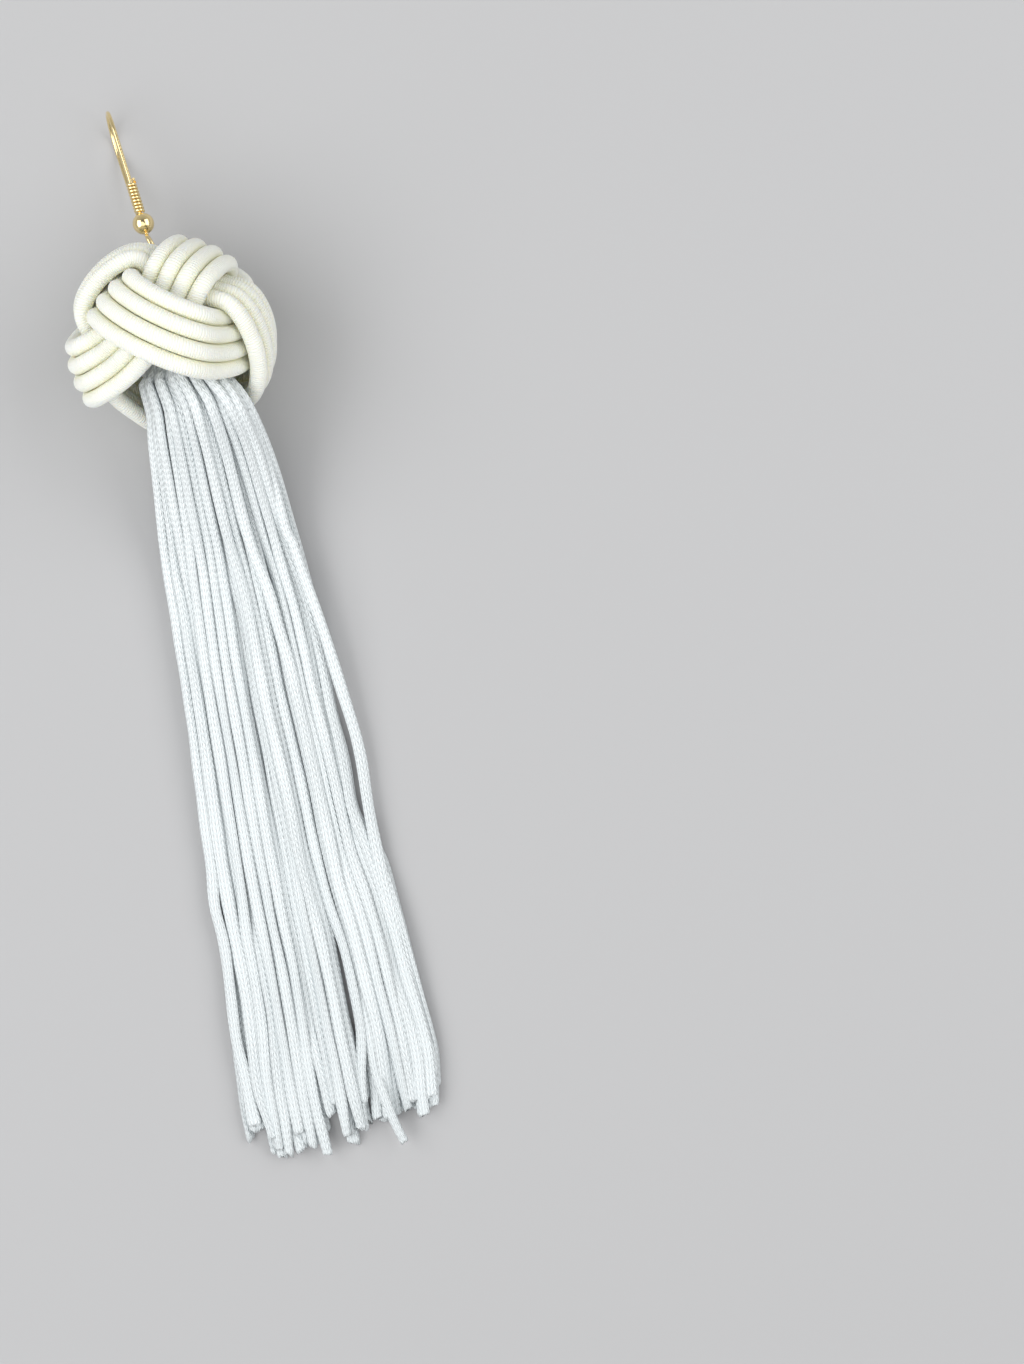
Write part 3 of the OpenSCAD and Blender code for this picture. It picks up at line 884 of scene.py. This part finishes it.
def strand_path(route, reach, leans, stray, rng):
    """A strand's points from the folded head to its cut tip, in the knot's millimetres."""
    step = 1.35
    tip_x, tip_z = (np.interp(reach, -route[:, 1], route[:, c]) for c in (0, 2))
    path = np.concatenate([route[-route[:, 1] < reach], [[tip_x, -reach, tip_z]]])
    if not stray:
        path = np.concatenate([headward(route), path])
    path = evenly(path, step)
    # One more ring just before the cut, so that the end can round off
    path = np.concatenate([path[:-1], [0.6 * path[-1] + 0.4 * path[-2]], path[-1:]])
    y = -path[:, 1]
    bend, bend_l = rng.uniform(-0.8, 0.8), 16
    path[:, 0] += bend * np.clip((y - reach + bend_l) / bend_l, 0, 1) ** 2
    if leans:
        lean = np.clip((y - LEAN_FROM) / (LEAN_REACH - LEAN_FROM), 0, 1)
        path[:, 0] += LEAN_OUT * lean ** 1.4
        path[:, 2] += np.minimum(lean * 3, 1) * LEAN_HEIGHT
    # The right edge turns in towards its tips
    edge, edge_w, turn_in = 9, 5, 1.5
    path[:, 0] -= turn_in * come_into(y, TURNING_IN) * come_into(path[:, 0], (edge, edge_w))
    return path


def wave_along(y, rng, shortest, longest):
    """A wave of some random length in mm that runs along a strand."""
    return np.sin(2 * math.pi * y / rng.uniform(shortest, longest) + rng.uniform(0, 6))


def strand_sizes(settings, y, reach, rng):
    """Half width and half thickness along a strand, in mm: round near the knot, flat further on."""
    in_head, near_w, near_t, last_w, tip_l = 0.65, 0.78, 1.32, 0.78, 6
    full = in_head + (1 - in_head) * come_into(y, FILLING_OUT)
    opened = come_into(y, OPENING)
    size = rng.uniform(0.9, 1.1)
    ripple = 1 + 0.04 * wave_along(y, rng, 9, 17)
    flare = 1 + smooth((y - reach + tip_l) / tip_l) * rng.uniform(-0.34, 0.3)
    half_w = settings.strand_w / 2 / MM * (near_w + (1 - near_w) * opened) * full * size * ripple * flare
    half_t = settings.strand_t / 2 / MM * (near_t + (1 - near_t) * opened) * full * size / ripple / flare
    half_w[-1] *= last_w
    return half_w, half_t


# Operators

class EARRING_OT_stage(Operator):
    """Makes the camera, the plain floor, the soft lights and the sky"""
    bl_idname = "earring.stage"
    bl_label = "Stage"

    def execute(self, context):
        settings = context.scene.earring_stage
        nothing_selected()
        data = bpy.data.cameras.new("photo_camera")
        data.sensor_width = 36.0
        data.lens = FOCAL_PX / LONG_SIDE_PX * data.sensor_width
        data.clip_start = 0.01
        camera = bpy.data.objects.new("photo_camera", data)
        context.scene.collection.objects.link(camera)
        camera.location = (CAMERA_X * MM, (KNOT_Y - CAMERA_BELOW_KNOT) * MM, settings.camera_height)
        camera.rotation_euler = (0, 0, math.radians(CAMERA_TURN))
        context.scene.camera = camera
        bpy.ops.mesh.primitive_plane_add(size=30.0, location=(0, 0, -0.02 * MM))
        floor = context.object
        floor.name = "floor"
        floor.data.materials.append(plain_floor())
        # Two large soft lights, at the left and the right
        size = (0.8, 0.44)
        self.light("key_light", (-0.42, 0.06, 0.48), size, settings.key_power)
        self.light("fill_light", (0.46, 0.04, 0.46), size, settings.fill_power)
        broad = bpy.data.lights.new("even_light", "SUN")
        broad.energy = settings.even_light
        broad.angle = math.radians(70)
        lamp = bpy.data.objects.new("even_light", broad)
        context.scene.collection.objects.link(lamp)
        shines_towards = Vector((0.25, 0.38, -1.0))
        lamp.rotation_euler = shines_towards.to_track_quat("-Z", "Y").to_euler()
        # Bright round the sides and dim overhead, as in a light tent with its top open
        dimming = 0.8
        sky = Paint("soft_sky", world=True, Color=(0.98, 0.99, 1.0, 1.0))
        direction = sky.node("ShaderNodeTexCoord")
        up = sky.node("ShaderNodeSeparateXYZ", sockets={0: direction}, output=HEIGHT)
        sky.set("Strength", (1 - up.clamped() ** 3 * dimming) * settings.sky)
        context.scene.world = sky.material
        context.scene.view_settings.view_transform = "Standard"
        return {"FINISHED"}

    def light(self, name, place, size, power):
        data = bpy.data.lights.new(name, "AREA")
        data.shape = "RECTANGLE"
        data.size, data.size_y = size
        data.energy = power
        lamp = bpy.data.objects.new(name, data)
        bpy.context.scene.collection.objects.link(lamp)
        lamp.location = place
        aim = Vector((0, KNOT_Y * MM * 0.2, 0)) - lamp.location
        lamp.rotation_euler = aim.to_track_quat("-Z", "Y").to_euler()


def middle_of(node):
    low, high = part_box(node)
    return (Vector(low) + Vector(high)) / 2


def hook_frame():
    """The ear wire's place, from its eye at the origin and its shank up +Y, and how far up the
    shank the bead sits, in metres."""
    eye_r = (EYE_INSIDE + WIRE_D) / 2
    eye_top = eye_r + EYE_SIDE_L
    bead_at = eye_top + WIRE_D / 2 + BEAD_REST + BEAD_D / 2
    bow_r = BOW_W / 2
    drop = bow_r * math.cos(math.radians(HOOK_TWIST))
    shank_l = HOOK_L - bow_r
    low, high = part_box("jump_ring")
    eye_z = (low[2] + high[2]) / 2 / MM
    # The bow's crown rests on the surface
    dip = (math.asin((eye_z - drop - WIRE_D / 2) / math.hypot(shank_l, drop))
           - math.atan2(drop, shank_l))
    turn = (Matrix.Rotation(math.radians(HOOK_YAW), 4, "Z") @ Matrix.Rotation(-dip, 4, "X")
            @ Matrix.Rotation(math.radians(HOOK_TWIST), 4, "Y"))
    origin = middle_of("hook_bead") - turn.to_3x3() @ Vector((0, bead_at * MM, 0))
    return Matrix.Translation(origin) @ turn, bead_at * MM


# A piece modelled upright along Z, turned so that it runs along the shank
ALONG_SHANK = Matrix.Rotation(math.radians(-90), 4, "X")


class EARRING_OT_bead(Operator):
    """Models the bored bead on the ear wire"""
    bl_idname = "earring.bead"
    bl_label = "Bead"

    def execute(self, context):
        radius = BEAD_D / 2 * MM
        bore = (WIRE_D / 2 + WIRE_PLAY) * MM
        rounding = 0.09 * MM
        face = math.sqrt(radius ** 2 - bore ** 2)
        nothing_selected()
        bpy.ops.mesh.primitive_uv_sphere_add(segments=48, ring_count=32, radius=radius)
        bead = context.object
        bead.name = "polished_bead"
        edit()
        for side in (1, -1):
            bpy.ops.mesh.select_all(action="SELECT")
            bpy.ops.mesh.bisect(plane_co=(0, 0, side * face), plane_no=(0, 0, side), clear_outer=True)
        bpy.ops.mesh.select_all(action="DESELECT")
        pick_open_edges()
        bpy.ops.mesh.bridge_edge_loops()
        bpy.ops.mesh.select_all(action="DESELECT")
        pick_edges(lambda e: all(abs(abs(v.co.z) - face) < TOUCHING for v in e.verts))
        bpy.ops.mesh.bevel(offset=rounding, segments=3, affect="EDGES")
        closed_and_smooth()
        lie, bead_at = hook_frame()
        placed(bead, lie @ Matrix.Translation((0, bead_at, 0)) @ ALONG_SHANK)
        dressed(bead, gilt(), "gilt_bead", "hook_bead")
        return {"FINISHED"}


class EARRING_OT_coil(Operator):
    """Winds the thin wire round the shank, with its end bent up"""
    bl_idname = "earring.coil"
    bl_label = "Coil"

    def execute(self, context):
        wire_r = COIL_WIRE_D / 2 * MM
        coil_r = (WIRE_D / 2 + WIRE_PLAY) * MM + wire_r
        pitch = (COIL_WIRE_D + COIL_GAP) * MM
        bend = 0.34 * MM
        nothing_selected()
        bpy.ops.mesh.primitive_circle_add(vertices=14, radius=wire_r, location=(coil_r, 0, 0),
                                          rotation=(math.radians(90), 0, 0))
        coil = context.object
        coil.name = "wound_coil"
        bpy.ops.object.transform_apply(location=True, rotation=True, scale=True)
        winding = coil.modifiers.new("winding", "SCREW")
        winding.axis = "Z"
        winding.angle = -2 * math.pi * COIL_TURNS
        winding.screw_offset = pitch * COIL_TURNS
        winding.steps = winding.render_steps = 30 * COIL_TURNS
        bpy.ops.object.modifier_apply(modifier=winding.name)
        edit()
        top = pitch * COIL_TURNS
        pick_open_edges(lambda e: e.verts[0].co.z > top / 2)
        bpy.ops.mesh.spin(steps=7, angle=math.radians(-84), center=(coil_r, 0, top + bend), axis=(1, 0, 0))
        end = context.scene.earring_wire.coil_end
        bpy.ops.mesh.extrude_region_move(TRANSFORM_OT_translate={"value": (0, -0.1 * end, end)})
        bpy.ops.mesh.select_all(action="SELECT")
        bpy.ops.mesh.remove_doubles(threshold=TOUCHING)
        bpy.ops.mesh.select_all(action="DESELECT")
        pick_open_edges()
        bpy.ops.mesh.fill_holes(sides=0)
        closed_and_smooth()
        lie, bead_at = hook_frame()
        start = bead_at + (BEAD_D / 2 + COIL_GAP) * MM + wire_r
        placed(coil, lie @ Matrix.Translation((0, start, 0)) @ ALONG_SHANK)
        dressed(coil, gilt(), "gilt_wire", "hook_coil")
        return {"FINISHED"}


class EARRING_OT_jump_ring(Operator):
    """Bends the jump ring, with its two cut ends pressed together"""
    bl_idname = "earring.jump_ring"
    bl_label = "Jump ring"

    def execute(self, context):
        ring_r = (RING_INSIDE + RING_WIRE_D) / 2 * MM
        nothing_selected()
        bpy.ops.mesh.primitive_circle_add(vertices=18, radius=RING_WIRE_D / 2 * MM, location=(ring_r, 0, 0),
                                          rotation=(math.radians(90), 0, 0))
        ring = context.object
        ring.name = "cut_jump_ring"
        bpy.ops.object.transform_apply(location=True, rotation=True, scale=True)
        edit()
        bpy.ops.mesh.select_all(action="SELECT")
        cut_at, cut_width = -70, 2
        bpy.ops.mesh.spin(steps=72, angle=math.radians(360 - cut_width), center=(0, 0, 0), axis=(0, 0, 1))
        bpy.ops.mesh.select_all(action="DESELECT")
        pick_open_edges()
        bpy.ops.mesh.fill_holes(sides=0)
        closed_and_smooth()
        turn = Matrix.Rotation(math.radians(cut_at), 4, "Z")
        placed(ring, Matrix.Translation(middle_of("jump_ring")) @ turn)
        dressed(ring, gilt(), "gilt_wire", "jump_ring")
        return {"FINISHED"}


class EARRING_OT_ear_wire(Operator):
    """Gilds the bent ear wire"""
    bl_idname = "earring.ear_wire"
    bl_label = "Ear wire"

    def execute(self, context):
        node_material("ear_hook", gilt())
        return {"FINISHED"}


class EARRING_OT_hanging_loop(Operator):
    """Gives the hanging loop its twisted thread"""
    bl_idname = "earring.hanging_loop"
    bl_label = "Hanging loop"

    def execute(self, context):
        node_material("hanging_loop", twisted_thread())
        return {"FINISHED"}


class EARRING_OT_knot(Operator):
    """Lays the knot's one long cord, four times round"""
    bl_idname = "earring.knot"
    bl_label = "Knot"

    def execute(self, context):
        settings = context.scene.earring_knot
        sides, step = 22, 0.6
        route = (evenly(ROUTE, step) + MIDDLE) * MM
        out = route - MIDDLE * MM
        tubes = Tubes(sides)
        tubes.add(route, out, settings.cord_d / 2, settings.cord_d / 2)
        # The UV map runs in millimetres
        tubes.uv = [block * np.array([1, 1 / MM]) for block in tubes.uv]
        knot = tubes.made("knot_cord")
        shade_cord(knot, route, sides, settings.cord_d)
        dressed(knot, wound_thread(), "knot_cord",
                "knot_pass_1", "knot_pass_2", "knot_pass_3", "knot_pass_4")
        return {"FINISHED"}


class EARRING_OT_tassel(Operator):
    """Lays the tassel's knitted strands from the folded head to their cut tips"""
    bl_idname = "earring.tassel"
    bl_label = "Tassel"

    def execute(self, context):
        settings = context.scene.earring_tassel
        rng = np.random.default_rng(settings.seed + 1)
        sides, rim, floor_room, neighbour_reach = 12, 0.22, 0.05, 2.3
        tubes = Tubes(sides)
        angle = 2 * math.pi * np.arange(sides) / sides
        middles, owners = [], []
        for number, (route, reach, leans) in enumerate(strand_routes(settings.seed)):
            stray = number == STRAND_COUNT - 1
            path = strand_path(route, reach, leans, stray, rng)
            y = -path[:, 1]
            half_w, half_t = strand_sizes(settings, y, reach, rng)
            roll = rng.uniform(-0.45, 0.45) + 0.4 * wave_along(y, rng, 40, 90)
            slant, ragged = rng.uniform(-0.5, 0.5), rng.uniform(-0.14, 0.14, sides)
            cut = slant * np.cos(angle) + ragged
            up = np.stack([np.sin(roll), np.zeros_like(roll), np.cos(roll)], -1)
            path[:, 2] = np.maximum(path[:, 2] + KNOT_Z, half_t + floor_room) - KNOT_Z
            tubes.add(path, up, half_w, half_t, rng.uniform(0, 50), rim, cut)
            middles.append(path)
            owners.append(np.full(len(path), number))
        tubes.points = [(p + MIDDLE) * MM for p in tubes.points]
        tassel = tubes.made("tassel_strands")
        owner = np.concatenate([np.full(len(p), number) for number, p in enumerate(tubes.points)])
        # Painted shade between strands: tightly packed strands near the knot get less of it than loose
        # ones, the lift paints light near the knot, and it paints more shade towards the tips
        below = KNOT_Y - np.concatenate(tubes.points)[:, 1] / MM
        loose = come_into(below, GROOVING)
        weight = 0.1 + 0.18 * loose
        painted_light_lift = 0.4 * (1 - loose) - 0.16 * come_into(below, TIPS_PAINTED_SHADE)
        middles = (np.concatenate(middles) + MIDDLE) * MM
        shade_strands(tassel, owner, middles, np.concatenate(owners), neighbour_reach * MM, weight, painted_light_lift)
        dressed(tassel, knitted_rayon(), "tassel_strands", "tassel")
        return {"FINISHED"}


class EARRING_PT_pieces(Panel):
    """Lists the earring's pieces"""
    bl_idname = "EARRING_PT_pieces"
    bl_label = "Tassel earring"
    bl_space_type = "VIEW_3D"
    bl_region_type = "UI"
    bl_category = "Earring"

    def draw(self, context):
        for operator in OPERATORS:
            self.layout.operator(operator.bl_idname)
        for group in ("earring_knot", "earring_tassel", "earring_wire", "earring_stage"):
            settings = getattr(context.scene, group)
            box = self.layout.box()
            for name in settings.__annotations__:
                box.prop(settings, name)


GROUPS = {
    "earring_knot": KnotSettings,
    "earring_tassel": TasselSettings,
    "earring_wire": WireSettings,
    "earring_stage": StageSettings,
}
OPERATORS = (EARRING_OT_stage, EARRING_OT_ear_wire, EARRING_OT_bead, EARRING_OT_coil, EARRING_OT_jump_ring,
             EARRING_OT_hanging_loop, EARRING_OT_knot, EARRING_OT_tassel)


def register():
    for name, group in GROUPS.items():
        bpy.utils.register_class(group)
        setattr(bpy.types.Scene, name, PointerProperty(type=group))
    for made in (*OPERATORS, EARRING_PT_pieces):
        bpy.utils.register_class(made)


def unregister():
    for made in (EARRING_PT_pieces, *reversed(OPERATORS)):
        bpy.utils.unregister_class(made)
    for name, group in reversed(GROUPS.items()):
        delattr(bpy.types.Scene, name)
        bpy.utils.unregister_class(group)


def main():
    register()
    bpy.ops.earring.stage()
    bpy.ops.earring.ear_wire()
    bpy.ops.earring.bead()
    bpy.ops.earring.coil()
    bpy.ops.earring.jump_ring()
    bpy.ops.earring.hanging_loop()
    bpy.ops.earring.knot()
    bpy.ops.earring.tassel()


if __name__ == "__main__":
    main()
